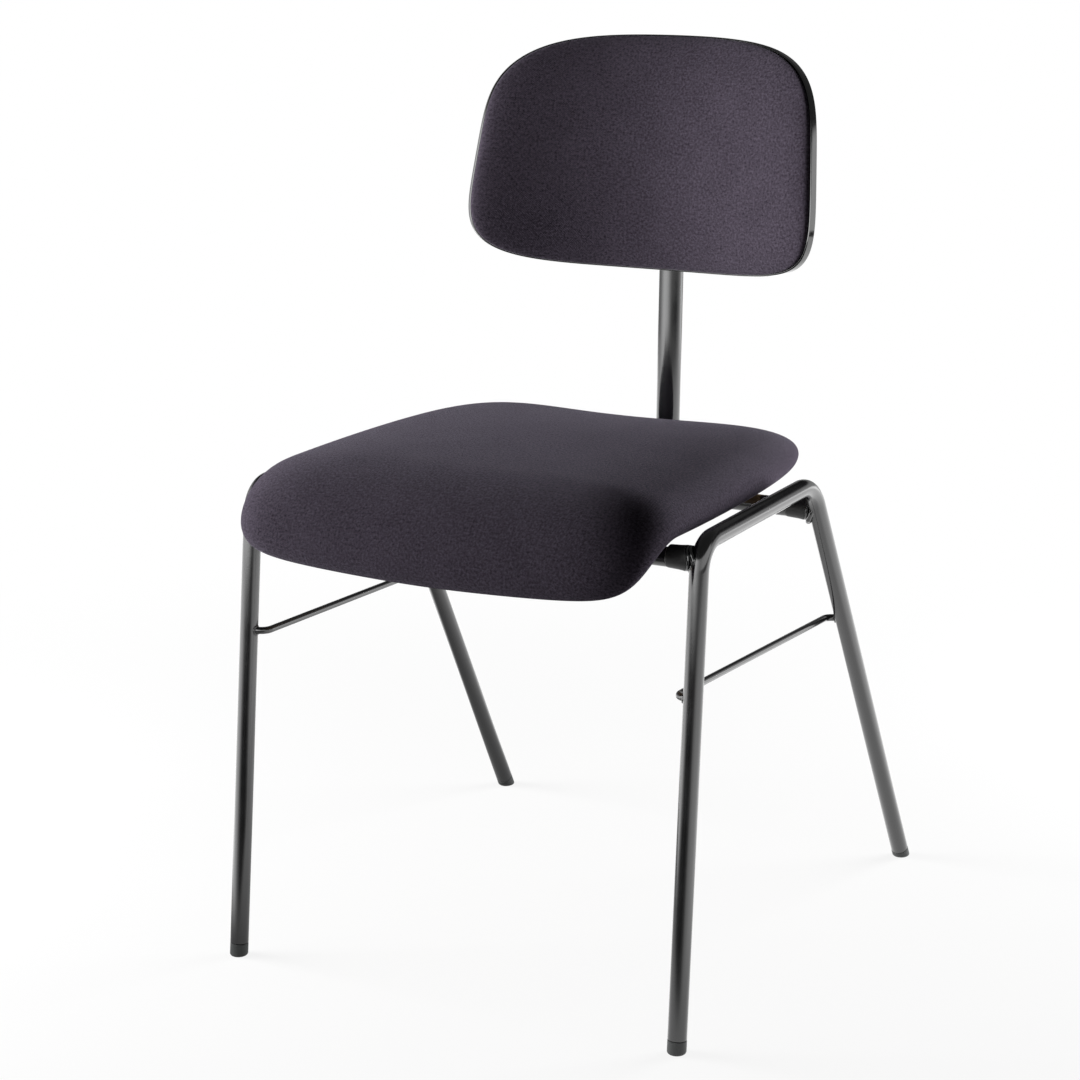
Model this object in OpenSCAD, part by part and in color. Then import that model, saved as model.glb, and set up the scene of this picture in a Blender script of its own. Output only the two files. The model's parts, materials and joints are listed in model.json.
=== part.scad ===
// Choir chair. Two bent tube side frames are tied by two crossbars, a moulded
// plywood seat with a waterfall front sits on the bars, and a curved backrest
// stands on one tube post that runs forward under the seat.
// Millimetres. The floor is z = 0, the sitter faces -Y and x = 0 is the mirror
// plane. The origin is on the floor, below the middle of the chair's outer box.

/* [Side frames] */
// Outside diameter of the leg tube
leg_od = 18; // [14:0.5:20]
// Wall of the leg tube
leg_wall = 2; // [1:0.25:2.5]
// Room for the seat: front corners of the frames, axis to axis, over its front width
seat_room = 49; // [44:1:60]
// How much wider the front feet stand than the front corners
front_splay = 7; // [0:1:16]
// How much wider the rear corners stand than the front corners
corner_splay = 9; // [0:1:16]
// How much wider the rear feet stand than the rear corners
rear_splay = 10; // [0:1:20]
// Front feet to rear feet, on the floor
foot_spread = 563; // [520:1:600]
// How far the front corner lies behind the front foot
front_set_back = 42.5; // [30:0.5:60]
// Front corner to rear corner
shoulder_run = 244; // [225:1:260]
// Centreline radius of the front bend
front_bend_r = 28; // [24:1:34]
// Centreline radius of the rear bend
rear_bend_r = 48; // [40:1:52]
// Diameter of the stacking rod between the legs
rod_d = 7; // [5:0.5:8]
// Height of the stacking rod at the front leg
rod_front_h = 327.5; // [280:0.5:350]
// Height of the stacking rod at the rear leg
rod_rear_h = 313.5; // [280:0.5:340]
// How far the stacking rod stands inside the leg's axis
rod_inset = 17.6; // [16:0.2:24]

/* [Feet] */
// Length of the foot cap below the tube, along the leg
cap_h = 13; // [10:0.5:18]
// Length of the cap's stem inside the tube
cap_stem = 22; // [12:1:35]
// Rounding of the cap's bottom edge
cap_edge_r = 2.5; // [1.5:0.25:3]

/* [Crossbars] */
// Outside diameter of the crossbar
bar_od = 18; // [16:0.5:20]
// Wall of the crossbar
bar_wall = 2; // [1:0.25:2.5]
// Length of the flared sleeve at each end of a bar
sleeve_len = 17; // [12:1:26]
// Wall of the sleeve at its thin end
sleeve_wall = 1.4; // [1:0.1:2]
// Diameter of the boss on the leg
boss_od = 23.5; // [23:0.5:28]
// Distance from the leg's surface to the seam between boss and sleeve
boss_reach = 4; // [3:0.5:14]

/* [Seat] */
// Underside of the seat shell above the floor
seat_h = 462; // [440:1:490]
// Thickness of the moulded plywood shell
ply_t = 10; // [8:0.5:12]
// Height of the front saddle between bar and shell
front_saddle_t = 2; // [1.5:0.25:5]
// Height of the rear saddle between bar and shell
rear_saddle_t = 12; // [8:0.5:14]
// Rear edge of the seat, behind the middle of the feet
seat_rear_y = 163.5; // [150:0.5:168]
// Length of the seat from the rear edge to the start of the waterfall
seat_flat = 397; // [375:1:405]
// Radius of the waterfall at the shell's underside
nose_r = 74; // [70:1:90]
// Angle through which the front turns down
nose_angle = 71; // [55:1:80]
// Width of the seat at the front edge
seat_front_w = 421; // [390:1:430]
// Width of the seat at the rear edge
seat_rear_w = 381; // [340:1:400]
// How far each side bows out at half length
seat_bulge = 16; // [5:1:18]
// How far the front edge bows out at its middle
seat_bow = 11; // [0:1:20]
// Depth of the upholstery below its widest line
pad_under = 17.3; // [15:0.1:20]
// Height of the upholstery above its widest line
pad_over = 33; // [24:1:40]
// Extra crown of the cushion at its middle
pad_crown = 9; // [4:1:14]
// Depth of the hollow at the rear of the cushion
seat_dish = 21; // [0:1:24]

/* [Backrest] */
// Width of the backrest shell along its curve
back_w = 403.5; // [360:0.5:420]
// Height of the backrest shell at its ends
back_h = 224.5; // [200:0.5:240]
// Extra height of the top edge at its middle
back_crown = 14.8; // [0:0.2:20]
// Narrowing from the middle to the top, as a share of the width
back_taper_share = 0.068; // [0:0.002:0.1]
// Radius of the shell's front face in plan
back_bend_r = 300; // [260:5:400]
// Lean of the backrest
back_tilt = 7.4; // [5:0.1:10]
// Middle of the backrest above the seat shell's underside
back_rise = 287.4; // [270:0.1:310]
// Thickness of the moulded backrest shell
shell_t = 5; // [4:0.25:7]
// Width of the raised lip round the shell's front
lip_w = 2.5; // [2:0.25:4]
// Height of the raised lip
lip_h = 1.5; // [1:0.25:3]
// Thickness of the plywood board inside the back cushion
board_t = 6; // [5:0.5:8]
// Height of the back cushion at its edge
back_edge = 4; // [3:0.5:6]
// Height of the back cushion above its edge
back_pad = 15; // [10:1:20]
// Extra crown of the back cushion at its middle
back_pad_crown = 8; // [4:1:14]

/* [Post] */
// Outside diameter of the backrest post
post_od = 25; // [22:0.5:28]
// Wall of the backrest post
post_wall = 2; // [1.5:0.25:3]
// Post axis behind the middle of the feet, at the seat shell's height
post_y = 191.5; // [186:0.5:196]
// Lean of the post
post_lean = 1.6; // [0:0.1:2.4]
// Centreline radius of the post's lower bend
post_bend_r = 58; // [45:1:60]
// Height of the post's top above the seat shell's underside
post_rise = 279; // [265:1:285]
// Length of the post's tail in front of the front bar
post_tail = 20; // [14:1:26]

/* [Hidden] */
$fn = 64;

// Clearances, overruns, and the lap of two lengths of one solid
weld_gap = 0.1;
slide_gap = 0.1;
pad_gap = 0.3;
seam_gap = 0.3;
over = 5;
lap = 0.5;
radian = 180 / PI;

// Radii worked out from the tubes
leg_r = leg_od / 2;
bar_r = bar_od / 2;
post_r = post_od / 2;
rod_r = rod_d / 2;
boss_r = boss_od / 2;

// Bars: their heights follow the seat
front_bar_z = seat_h - front_saddle_t - bar_r;
rear_bar_z = seat_h - rear_saddle_t - bar_r;

// Corners of the side frame's centreline lie above the bars by these rises
front_shoulder_rise = 15.3;
rear_shoulder_rise = 30.3;
front_shoulder_span = seat_front_w + seat_room;
front_foot_span = front_shoulder_span + front_splay;
rear_shoulder_span = front_shoulder_span + corner_splay;
rear_foot_span = rear_shoulder_span + rear_splay;
front_foot = [front_foot_span / 2, -foot_spread / 2, 0];
rear_foot = [rear_foot_span / 2, foot_spread / 2, 0];
front_shoulder = [front_shoulder_span / 2, front_foot[1] + front_set_back,
                  front_bar_z + front_shoulder_rise];
rear_shoulder = [rear_shoulder_span / 2, front_shoulder[1] + shoulder_run,
                 rear_bar_z + rear_shoulder_rise];
frame_path = [front_foot, front_shoulder, rear_shoulder, rear_foot];
frame_radii = [0, front_bend_r, rear_bend_r, 0];

// Vector helpers
function unit(v) = v / norm(v);
function mix(a, b, t) = a + (b - a) * t;
function clamp(t, low, high) = min(max(t, low), high);
function flip_x(p, side) = [p[0] * side, p[1], p[2]];
function at_height(p, q, z) = mix(p, q, (z - p[2]) / (q[2] - p[2]));

// A bend's turn, the length it takes from each straight, its start and its centre
function turn(p, i) = acos(clamp(unit(p[i] - p[i - 1]) * unit(p[i + 1] - p[i]), -1, 1));
function bend_len(p, r, i) = r[i] == 0 ? 0 : r[i] * tan(turn(p, i) / 2);
function bend_start(p, r, i) = p[i] - unit(p[i] - p[i - 1]) * bend_len(p, r, i);
function bend_inward(p, i) =
    let (d = unit(p[i] - p[i - 1]), e = unit(p[i + 1] - p[i])) unit(e - d * (e * d));
function bend_centre(p, r, i) = bend_start(p, r, i) + bend_inward(p, i) * r[i];

// Puts children drawn along local x and y into the frame with these directions
module aim(c, x, y) {
    z = cross(x, y);
    multmatrix([[x[0], y[0], z[0], c[0]],
                [x[1], y[1], z[1], c[1]],
                [x[2], y[2], z[2], c[2]],
                [0, 0, 0, 1]]) children();
}

// A round rod from p to q
module rod(p, q, r) {
    z = unit(q - p);
    side = abs(z[0]) < 1 / 2 ? [1, 0, 0] : [0, 1, 0];
    x = unit(cross(side, z));
    aim(p, x, cross(z, x)) cylinder(r = r, h = norm(q - p));
}

// A round rod along a path of points, with a bend of its own radius at each corner.
// Bending draws the rod down by a hair, and the straights lap into the bends.
bend_draw = 0.02;
module bend(p, radii, i, r) {
    aim(bend_centre(p, radii, i), -bend_inward(p, i), unit(p[i] - p[i - 1]))
        rotate_extrude(angle = turn(p, i)) translate([radii[i], 0]) circle(r);
}
module bent_rod(p, radii, r) {
    last = len(p) - 1;
    for (i = [0 : last - 1]) {
        d = unit(p[i + 1] - p[i]);
        a = i == 0 ? p[0] : p[i] + d * (bend_len(p, radii, i) - lap);
        b = i == last - 1 ? p[last] : p[i + 1] - d * (bend_len(p, radii, i + 1) - lap);
        rod(a, b, r);
    }
    for (i = [1 : last - 1]) bend(p, radii, i, r - bend_draw);
}

// The same path with its two ends run on, to cut a bore right through
function run_on(p) = let (n = len(p) - 1) [for (i = [0 : n])
    i == 0 ? p[0] - unit(p[1] - p[0]) * over
    : i == n ? p[n] + unit(p[n] - p[n - 1]) * over : p[i]];

module bent_tube(p, radii, r, wall) {
    difference() {
        bent_rod(p, radii, r);
        bent_rod(run_on(p), radii, r - wall);
    }
}

// Where the bent centreline passes a height, on the front or the rear leg
function leg_axis(front, z) =
    let (i = front ? 1 : 2,
         foot = front ? front_foot : rear_foot,
         start = front ? bend_start(frame_path, frame_radii, 1)
                       : rear_shoulder + unit(rear_foot - rear_shoulder)
                         * bend_len(frame_path, frame_radii, 2),
         c = bend_centre(frame_path, frame_radii, i),
         straight = at_height(foot, frame_path[i], z),
         lift = z - c[2],
         reach = sqrt(max(pow(frame_radii[i], 2) - lift * lift, 0)))
    z <= start[2] ? straight : [straight[0], c[1] + (front ? -reach : reach), z];

front_joint = leg_axis(true, front_bar_z);
rear_joint = leg_axis(false, rear_bar_z);

// The seat's reference surface runs level and then rolls down over the front.
// s is the distance from the rear edge along it, off the distance above it.
seat_ref_r = nose_r + pad_under;
seat_len = seat_flat + seat_ref_r * nose_angle / radian;
seat_ref_z = seat_h + pad_under;
function nose_turn(s) = clamp((s - seat_flat) / seat_ref_r * radian, 0, nose_angle);
function seat_point(x, s, off) =
    [x, seat_rear_y - min(s, seat_flat) - (seat_ref_r + off) * sin(nose_turn(s)),
     seat_ref_z - seat_ref_r + (seat_ref_r + off) * cos(nose_turn(s))];

// Unit outlines: rounded squares, squarer or rounder with their exponents
seat_front_power = 12;
seat_rear_power = 4.8;
back_top_power = 4;
back_low_power = 4.75;
function round_square(a, low_power, high_power) =
    let (n = sin(a) > 0 ? high_power : low_power,
         q = pow(pow(abs(cos(a)), n) + pow(abs(sin(a)), n), -1 / n))
    [cos(a) * q, sin(a) * q];

function seat_half_w(f) =
    mix(seat_rear_w, seat_front_w, f) / 2 + seat_bulge * 4 * f * (1 - f);
// Outline of the seat at angle a: x across and s along the surface
function seat_edge(a) =
    let (e = round_square(a, seat_rear_power, seat_front_power),
         s = seat_len / 2 * (1 + e[1]) - seat_bow * e[0] * e[0] * max(e[1], 0))
    [e[0] * seat_half_w(clamp(s / seat_len, 0, 1)), s];

// Cushion height over and under the reference surface, at a share of the outline
pad_over_power = 6.2;
pad_under_power = 15;
function fall(share, power) = sqrt(max(1 - pow(share, power), 0));
function pad_top(share, side_share, s) =
    pad_over * fall(share, pad_over_power) + pad_crown * (1 - share * share)
    - seat_dish * (1 - side_share * side_share) * pow(max(1 - 2 * s / seat_len, 0), 2);
function pad_bottom(share) = -pad_under * fall(share, pad_under_power);

pad_columns = 72;
pad_top_shares = [0.25, 0.5, 0.7, 0.82, 0.9, 0.955, 0.988, 1];
pad_low_shares = [0.99, 0.965, 0.9, 0.6];
function seat_pad_point(share, a, under) =
    let (e = seat_edge(a), c = seat_len / 2, s = c + share * (e[1] - c),
         side_share = share * round_square(a, seat_rear_power, seat_front_power)[0])
    seat_point(share * e[0], s, under ? pad_bottom(share) : pad_top(share, side_share, s));
seat_pad_points = concat(
    [seat_point(0, seat_len / 2, pad_top(0, 0, seat_len / 2))],
    [for (share = pad_top_shares) for (j = [0 : pad_columns - 1])
        seat_pad_point(share, 360 * j / pad_columns, false)],
    [for (share = pad_low_shares) for (j = [0 : pad_columns - 1])
        seat_pad_point(share, 360 * j / pad_columns, true)],
    [seat_point(0, seat_len / 2, pad_bottom(0))]);

// Triangles of a closed skin: a pole, rings of n points, and the other pole
function skin_faces(rings, n) = concat(
    [for (j = [0 : n - 1]) [0, 1 + j, 1 + (j + 1) % n]],
    [for (i = [0 : rings - 2]) for (j = [0 : n - 1]) for (half = [0, 1])
        let (a = 1 + i * n + j, b = 1 + i * n + (j + 1) % n, c = b + n, d = a + n)
        half == 0 ? [a, d, c] : [a, c, b]],
    [for (j = [0 : n - 1]) let (k = 1 + (rings - 1) * n)
        [k + n, k + (j + 1) % n, k + j]]);

// The chair's reach forwards and backwards sets the origin between them
nose_reach = min([for (p = seat_pad_points) p[1]]);
rear_lean = atan((rear_foot[1] - rear_shoulder[1]) / rear_shoulder[2]);
cap_flat_r = leg_r - cap_edge_r / 2;
cap_corner = [cap_flat_r + cap_edge_r * sin(45), cap_edge_r * (1 - cos(45))];
heel_z = (leg_r / cos(rear_lean) - cap_corner[0] + cap_corner[1]) / (1 + tan(rear_lean));
heel_reach = rear_foot[1] + leg_r / cos(rear_lean) - heel_z * tan(rear_lean);
middle_y = (nose_reach + heel_reach) / 2;
module place() {
    translate([0, -middle_y, 0]) children();
}

// Side frames, the welded bosses and the stacking rods
function cut_end(foot, shoulder) = foot + unit(shoulder - foot) * cap_h;
tube_path = [cut_end(front_foot, front_shoulder), front_shoulder, rear_shoulder,
             cut_end(rear_foot, rear_shoulder)];
module side_frame(side) {
    color([0.09, 0.09, 0.1])
        bent_tube([for (p = tube_path) flip_x(p, side)], frame_radii, leg_r, leg_wall);
}

rod_bend_r = 11;
rod_front = at_height(front_foot, front_shoulder, rod_front_h);
rod_rear = at_height(rear_foot, rear_shoulder, rod_rear_h);
rod_shift = [rod_inset, 0, 0];
rod_path = [rod_front, rod_front - rod_shift, rod_rear - rod_shift, rod_rear];
module stacking_rod(side) {
    color([0.1, 0.1, 0.11]) difference() {
        bent_rod([for (p = rod_path) flip_x(p, side)], [0, rod_bend_r, rod_bend_r, 0], rod_r);
        for (leg = [[front_foot, front_shoulder], [rear_foot, rear_shoulder]])
            rod(flip_x(leg[0], side), flip_x(leg[1], side), leg_r + weld_gap);
    }
}

// Foot caps: a plug as wide as the tube, cut level at the floor. The cut's edge is
// rounded as far as 45 degrees and runs on outwards as a chamfer.
module level_cut() {
    rotate_extrude() polygon(concat(
        [[0, 0]],
        [for (t = [0 : 15 : 45]) [cap_flat_r + cap_edge_r * sin(t), cap_edge_r * (1 - cos(t))]],
        [cap_corner + [leg_od, leg_od], [0, cap_corner[1] + leg_od]]));
}
module foot(floor_point, shoulder) {
    up = unit(shoulder - floor_point);
    seam = floor_point + up * (cap_h - seam_gap);
    color([0.16, 0.16, 0.17]) {
        intersection() {
            rod(floor_point - up * over, seam, leg_r);
            translate(floor_point) level_cut();
        }
        rod(seam - up * lap, seam + up * cap_stem, leg_r - leg_wall - slide_gap);
    }
}

// Crossbars. Everything at a bar's end is turned about the bar's axis, and the
// seam lies at a set distance from the leg.
function seam_x(joint) = joint[0] - leg_r - boss_reach;
module crossbar(joint) {
    half = seam_x(joint) - seam_gap;
    color([0.08, 0.08, 0.09]) difference() {
        rod([-half, joint[1], joint[2]], [half, joint[1], joint[2]], bar_r);
        rod([-half - over, joint[1], joint[2]], [half + over, joint[1], joint[2]],
            bar_r - bar_wall);
        for (side = [-1, 1]) bolt_way(joint, side, bolt_r + bolt_gap);
    }
}

// Draws a profile of radius over distance, from x towards the leg
module turned(joint, side, x) {
    aim([side * x, joint[1], joint[2]], [0, 1, 0], [0, 0, side]) rotate_extrude() children();
}

spigot_len = 20;
boss_land = 2;
boss_neck_inset = 0.6;
boss_neck_most = 8.4;
boss_neck_r = min(leg_r - boss_neck_inset, boss_neck_most);
// The leg that a boss is coped to: the front bars meet it in the bend, the rear
// bars on the straight below it
module leg_blank(front, side) {
    path = [for (p = frame_path) flip_x(p, side)];
    if (front) bend(path, frame_radii, 1, leg_r + weld_gap);
    else rod(path[3], path[2], leg_r + weld_gap);
}
module boss(joint, side) {
    start = seam_x(joint);
    color([0.07, 0.07, 0.08]) difference() {
        union() {
            turned(joint, side, start)
                polygon([[0, 0], [boss_r, 0], [boss_r, boss_land],
                         [mix(boss_r, boss_neck_r, 2 / 3), mix(boss_land, boss_reach, 1 / 2)],
                         [boss_neck_r, boss_reach], [boss_neck_r, joint[0] - start],
                         [0, joint[0] - start]]);
            turned(joint, -side, -start - lap)
                square([bar_r - bar_wall - slide_gap, spigot_len + lap]);
        }
        leg_blank(joint == front_joint, side);
    }
}

sleeve_chamfer = 1.2;
module sleeve(joint, side) {
    inner = bar_r + slide_gap;
    thin = inner + sleeve_wall;
    color([0.08, 0.08, 0.09]) turned(joint, side, seam_x(joint) - seam_gap - sleeve_len)
        polygon([[inner, 0], [thin - sleeve_chamfer, 0], [thin, sleeve_chamfer],
                 [mix(thin, boss_r, 1 / 3), sleeve_len * 2 / 3], [boss_r, sleeve_len],
                 [inner, sleeve_len]]);
}

// Seat fixings: saddles on the bars, bolts up through bar, saddle and shell
bolt_r = 3;
bolt_gap = 0.4;
bolt_head_r = 5.2;
bolt_head_h = 4;
washer_r = 7;
washer_t = 1.4;
saddle_w = 26;
saddle_len = 42;
saddle_wrap = 3;
bolt_spread_share = 0.52;
tee_r = 9;
tee_t = 1.2;
tee_barrel_r = 3.9;
tee_depth = 8;
function bolt_x(side) = side * bolt_spread_share * seat_rear_w / 2;
function bolt_base(joint, side) = [bolt_x(side), joint[1], joint[2] - bar_r];
module bolt_way(joint, side, r) {
    translate(bolt_base(joint, side) - [0, 0, over])
        cylinder(r = r, h = seat_h + ply_t + 2 * over - joint[2] + bar_r);
}
module saddles(joint) {
    bottom = joint[2] + saddle_wrap;
    color([0.13, 0.13, 0.14]) for (side = [-1, 1]) difference() {
        translate([bolt_x(side) - saddle_len / 2, joint[1] - saddle_w / 2, bottom])
            cube([saddle_len, saddle_w, seat_h - bottom]);
        rod([bolt_x(side) - saddle_len, joint[1], joint[2]],
            [bolt_x(side) + saddle_len, joint[1], joint[2]], bar_r + slide_gap);
        bolt_way(joint, side, bolt_r + bolt_gap);
        shell_blank(-pad_under, pad_over, 0);
    }
}
joints = [front_joint, rear_joint];
// Over the waterfall a tee nut is let in deeper, so that its rim stays under the top
function tee_top(joint) =
    let (ahead = max(seat_rear_y - seat_flat - joint[1] + tee_r, 0), r = nose_r + ply_t)
    seat_h + ply_t - r + sqrt(r * r - ahead * ahead);
module seat_bolts() {
    color([0.55, 0.56, 0.58]) for (joint = joints) for (side = [-1, 1])
        translate(bolt_base(joint, side) - [0, 0, washer_t]) {
            translate([0, 0, -bolt_head_h])
                cylinder(r = bolt_head_r, h = bolt_head_h, $fn = 6);
            cylinder(r = bolt_r, h = tee_top(joint) - tee_t - joint[2] + bar_r + washer_t);
        }
}
module seat_washers() {
    color([0.6, 0.61, 0.63]) for (joint = joints) for (side = [-1, 1])
        translate(bolt_base(joint, side) - [0, 0, washer_t]) difference() {
            cylinder(r = washer_r, h = washer_t);
            translate([0, 0, -over]) cylinder(r = bolt_r + slide_gap, h = washer_t + 2 * over);
        }
}
module tee_nut(x, y, z) {
    translate([x, y, z]) difference() {
        union() {
            cylinder(r = tee_r, h = tee_t);
            translate([0, 0, tee_t - tee_depth]) cylinder(r = tee_barrel_r, h = tee_depth);
        }
        translate([0, 0, -tee_depth - over])
            cylinder(r = bolt_r + slide_gap, h = tee_depth + tee_t + 2 * over);
    }
}
module seat_tee_nuts() {
    color([0.6, 0.61, 0.63]) for (joint = joints) for (side = [-1, 1])
        tee_nut(bolt_x(side), joint[1], tee_top(joint) - tee_t);
}

// Seat shell: one profile across the whole width, cut to its outline in plan and,
// where the front turns down, from the front. grow enlarges it for the pocket.
shell_inset = 36;
outline_steps = 48;
nose_steps = 12;
function shell_edge(a) =
    let (e = seat_edge(a), c = seat_len / 2, k = norm([e[0], e[1] - c]))
    [e[0] * (1 - shell_inset / k), c + (e[1] - c) * (1 - shell_inset / k)];
shell_front_s = seat_len - shell_inset;
module shell_profile(low, high, end) {
    turn_end = nose_turn(end);
    centre = [seat_rear_y - seat_flat, seat_ref_z - seat_ref_r];
    arc = [for (k = [0 : nose_steps]) turn_end * k / nose_steps];
    polygon(concat(
        [[seat_rear_y, seat_ref_z + high]],
        [for (t = arc) centre + (seat_ref_r + high) * [-sin(t), cos(t)]],
        [for (k = [nose_steps : -1 : 0])
            centre + (seat_ref_r + low) * [-sin(arc[k]), cos(arc[k])]],
        [[seat_rear_y, seat_ref_z + low]]));
}
function shell_corner(a, grow) =
    let (e = shell_edge(a), c = seat_len / 2, k = 1 + grow / norm([e[0], e[1] - c]))
    [e[0] * k, c + (e[1] - c) * k];
function shell_corners(start, grow) = [for (j = [0 : outline_steps - 1])
    shell_corner(start + 360 * (j + 1 / 2) / outline_steps, grow)];
module shell_blank(low, high, grow) {
    from_front = shell_corners(90, grow);
    level = [for (c = from_front) if (c[1] <= seat_flat) [c[0], seat_rear_y - c[1]]];
    nose = [for (c = shell_corners(-90, grow)) if (c[1] > seat_flat)
        let (p = seat_point(c[0], c[1], -pad_under)) [p[0], p[2]]];
    half = max([for (c = from_front) c[0]]);
    tall = seat_ref_r + pad_over;
    ahead = seat_rear_y - seat_len;
    intersection() {
        translate([-half, 0, 0]) rotate([90, 0, 90]) linear_extrude(2 * half)
            shell_profile(low, high, shell_front_s + grow);
        translate([0, 0, seat_h - tall]) linear_extrude(2 * tall)
            polygon(concat(level, [[half, ahead], [-half, ahead]]));
        translate([0, seat_rear_y + over, 0]) rotate([90, 0, 0]) linear_extrude(seat_len + over)
            polygon(concat([[half, seat_h + tall], [half, seat_h]], nose,
                           [[-half, seat_h], [-half, seat_h + tall]]));
    }
}
module seat_shell() {
    color([0.2, 0.16, 0.13]) difference() {
        shell_blank(-pad_under, ply_t - pad_under, 0);
        for (joint = joints) for (side = [-1, 1]) {
            bolt_way(joint, side, tee_barrel_r + slide_gap);
            translate([bolt_x(side), joint[1], tee_top(joint) - tee_t])
                cylinder(r = tee_r + slide_gap, h = tee_t + over);
        }
    }
}
module seat_cushion() {
    color([0.16, 0.14, 0.18]) difference() {
        polyhedron(seat_pad_points,
                   skin_faces(len(pad_top_shares) + len(pad_low_shares), pad_columns));
        shell_blank(-pad_under - pad_over, ply_t - pad_under + pad_gap, pad_gap);
    }
}

// Back post: leans slightly, then bends forward and runs on under both bars
function flat_cross(a, b) = a[0] * b[1] - a[1] * b[0];
bar_line = unit([front_joint[1] - rear_joint[1], front_joint[2] - rear_joint[2]]);
bar_down = [bar_line[1], -bar_line[0]] * (bar_line[0] < 0 ? -1 : 1);
spine_drop = bar_r + post_r + weld_gap;
spine_rear = [rear_joint[1], rear_joint[2]] + bar_down * spine_drop;
spine_front = [front_joint[1], front_joint[2]] + bar_down * spine_drop + bar_line * post_tail;
post_line = [sin(post_lean), cos(post_lean)];
post_base = [post_y, seat_h];
post_end = post_base + post_line * post_rise / cos(post_lean);
post_knee = post_base + post_line
            * flat_cross(spine_rear - post_base, bar_line) / flat_cross(post_line, bar_line);
function on_mid(p) = [0, p[0], p[1]];
post_path = [on_mid(post_end), on_mid(post_knee), on_mid(spine_front)];
module back_post() {
    color([0.09, 0.09, 0.1]) difference() {
        bent_tube(post_path, [0, post_bend_r, 0], post_r, post_wall);
        lock_way(lock_r + slide_gap);
    }
}
plug_t = 3;
plug_len = 14;
module post_tail_plug() {
    d = -on_mid(bar_line);
    start = on_mid(spine_front) - d * seam_gap;
    color([0.13, 0.13, 0.14]) {
        rod(start - d * plug_t, start, post_r);
        rod(start - d * lap, start + d * plug_len, post_r - post_wall - slide_gap);
    }
}

// Backrest, drawn in its own frame: x across, z up, the sitter on the -y side,
// and the origin at the middle of the shell's front face
back_z = seat_h + back_rise;
back_y = post_y + back_rise * tan(post_lean) - post_r - shell_t - weld_gap;
module lean_back() {
    translate([0, back_y, back_z]) rotate([-back_tilt, 0, 0]) children();
}
back_crown_share = back_crown / (back_h / 2);
function back_edge_at(a, inset) =
    let (e = round_square(a, back_low_power, back_top_power),
         w = back_w / 2 * (1 - back_taper_share * e[1]) - inset,
         h = back_h / 2 * (1 + (e[1] > 0 ? back_crown_share * (1 - e[0] * e[0]) : 0)) - inset)
    [w * e[0], h * e[1]];
// u along the curve, v up, off from the front face towards the sitter
function back_point(u, v, off) =
    let (t = u / back_bend_r * radian)
    [(back_bend_r - off) * sin(t), (back_bend_r - off) * cos(t) - back_bend_r, v];
back_steps = 72;
module back_outline(inset) {
    deep = back_bend_r;
    translate([0, deep / 2, 0]) rotate([90, 0, 0]) linear_extrude(deep)
        polygon([for (j = [0 : back_steps - 1])
            let (e = back_edge_at(360 * j / back_steps, inset), p = back_point(e[0], e[1], 0))
            [p[0], p[2]]]);
}
// A curved wall from off low to off high, as deep as the outline
module curved_wall(low, high) {
    tall = back_h * 2;
    translate([0, -back_bend_r, -tall / 2]) difference() {
        cylinder(r = back_bend_r - low, h = tall, $fn = 180);
        translate([0, 0, -over]) cylinder(r = back_bend_r - high, h = tall + 2 * over, $fn = 180);
    }
}
module back_sheet(low, high, inset) {
    intersection() {
        curved_wall(low, high);
        back_outline(inset);
    }
}
module back_shell() {
    color([0.03, 0.03, 0.035]) lean_back() difference() {
        back_sheet(-shell_t, lip_h, 0);
        back_sheet(0, lip_h + over, lip_w);
        socket_holes(screw_r + screw_gap);
    }
}
board_inset = 24;
module back_board() {
    color([0.62, 0.48, 0.33]) lean_back() difference() {
        back_sheet(pad_gap, pad_gap + board_t, board_inset);
        socket_holes(tee_barrel_r + slide_gap);
        for (s = screw_places) on_back(s[0], s[1], pad_gap + board_t + over)
            cylinder(r = tee_r + slide_gap, h = over + tee_t);
    }
}
pad_inset = lip_w + 1;
back_pad_power = 8;
back_columns = 64;
back_top_shares = [0.3, 0.58, 0.78, 0.9, 0.96, 0.99, 1];
back_low_shares = [0.985, 0.6];
function back_pad_top(share) =
    back_edge + back_pad * fall(share, back_pad_power) + back_pad_crown * (1 - share * share);
function back_pad_point(share, a, off) =
    let (e = back_edge_at(a, pad_inset)) back_point(share * e[0], share * e[1], off);
back_pad_points = concat(
    [back_point(0, 0, back_pad_top(0))],
    [for (share = back_top_shares) for (j = [0 : back_columns - 1])
        back_pad_point(share, 360 * j / back_columns, back_pad_top(share))],
    [for (share = back_low_shares) for (j = [0 : back_columns - 1])
        back_pad_point(share, 360 * j / back_columns, pad_gap)],
    [back_point(0, 0, pad_gap)]);
module back_cushion() {
    color([0.16, 0.14, 0.18]) lean_back() difference() {
        polyhedron(back_pad_points,
                   skin_faces(len(back_top_shares) + len(back_low_shares), back_columns));
        back_sheet(-over, 2 * pad_gap + board_t, board_inset - pad_gap);
    }
}

// Socket on the back of the shell: a curved flange and a barrel round the post
flange_t = 3;
flange_w = 88;
flange_h = 106;
flange_corner_r = 12;
barrel_wall = 4;
rib_share = 2 / 3;
socket_low = 92;
socket_top = 14;
screw_r = 2.5;
screw_gap = 0.25;
screw_head_r = 4.6;
screw_head_h = 2.6;
screw_u = 33;
screw_v = 40;
socket_v = -36;
barrel_r = post_r + barrel_wall;
screw_places = [for (u = [-1, 1]) for (v = [-1, 1]) [u * screw_u, socket_v + v * screw_v]];
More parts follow.
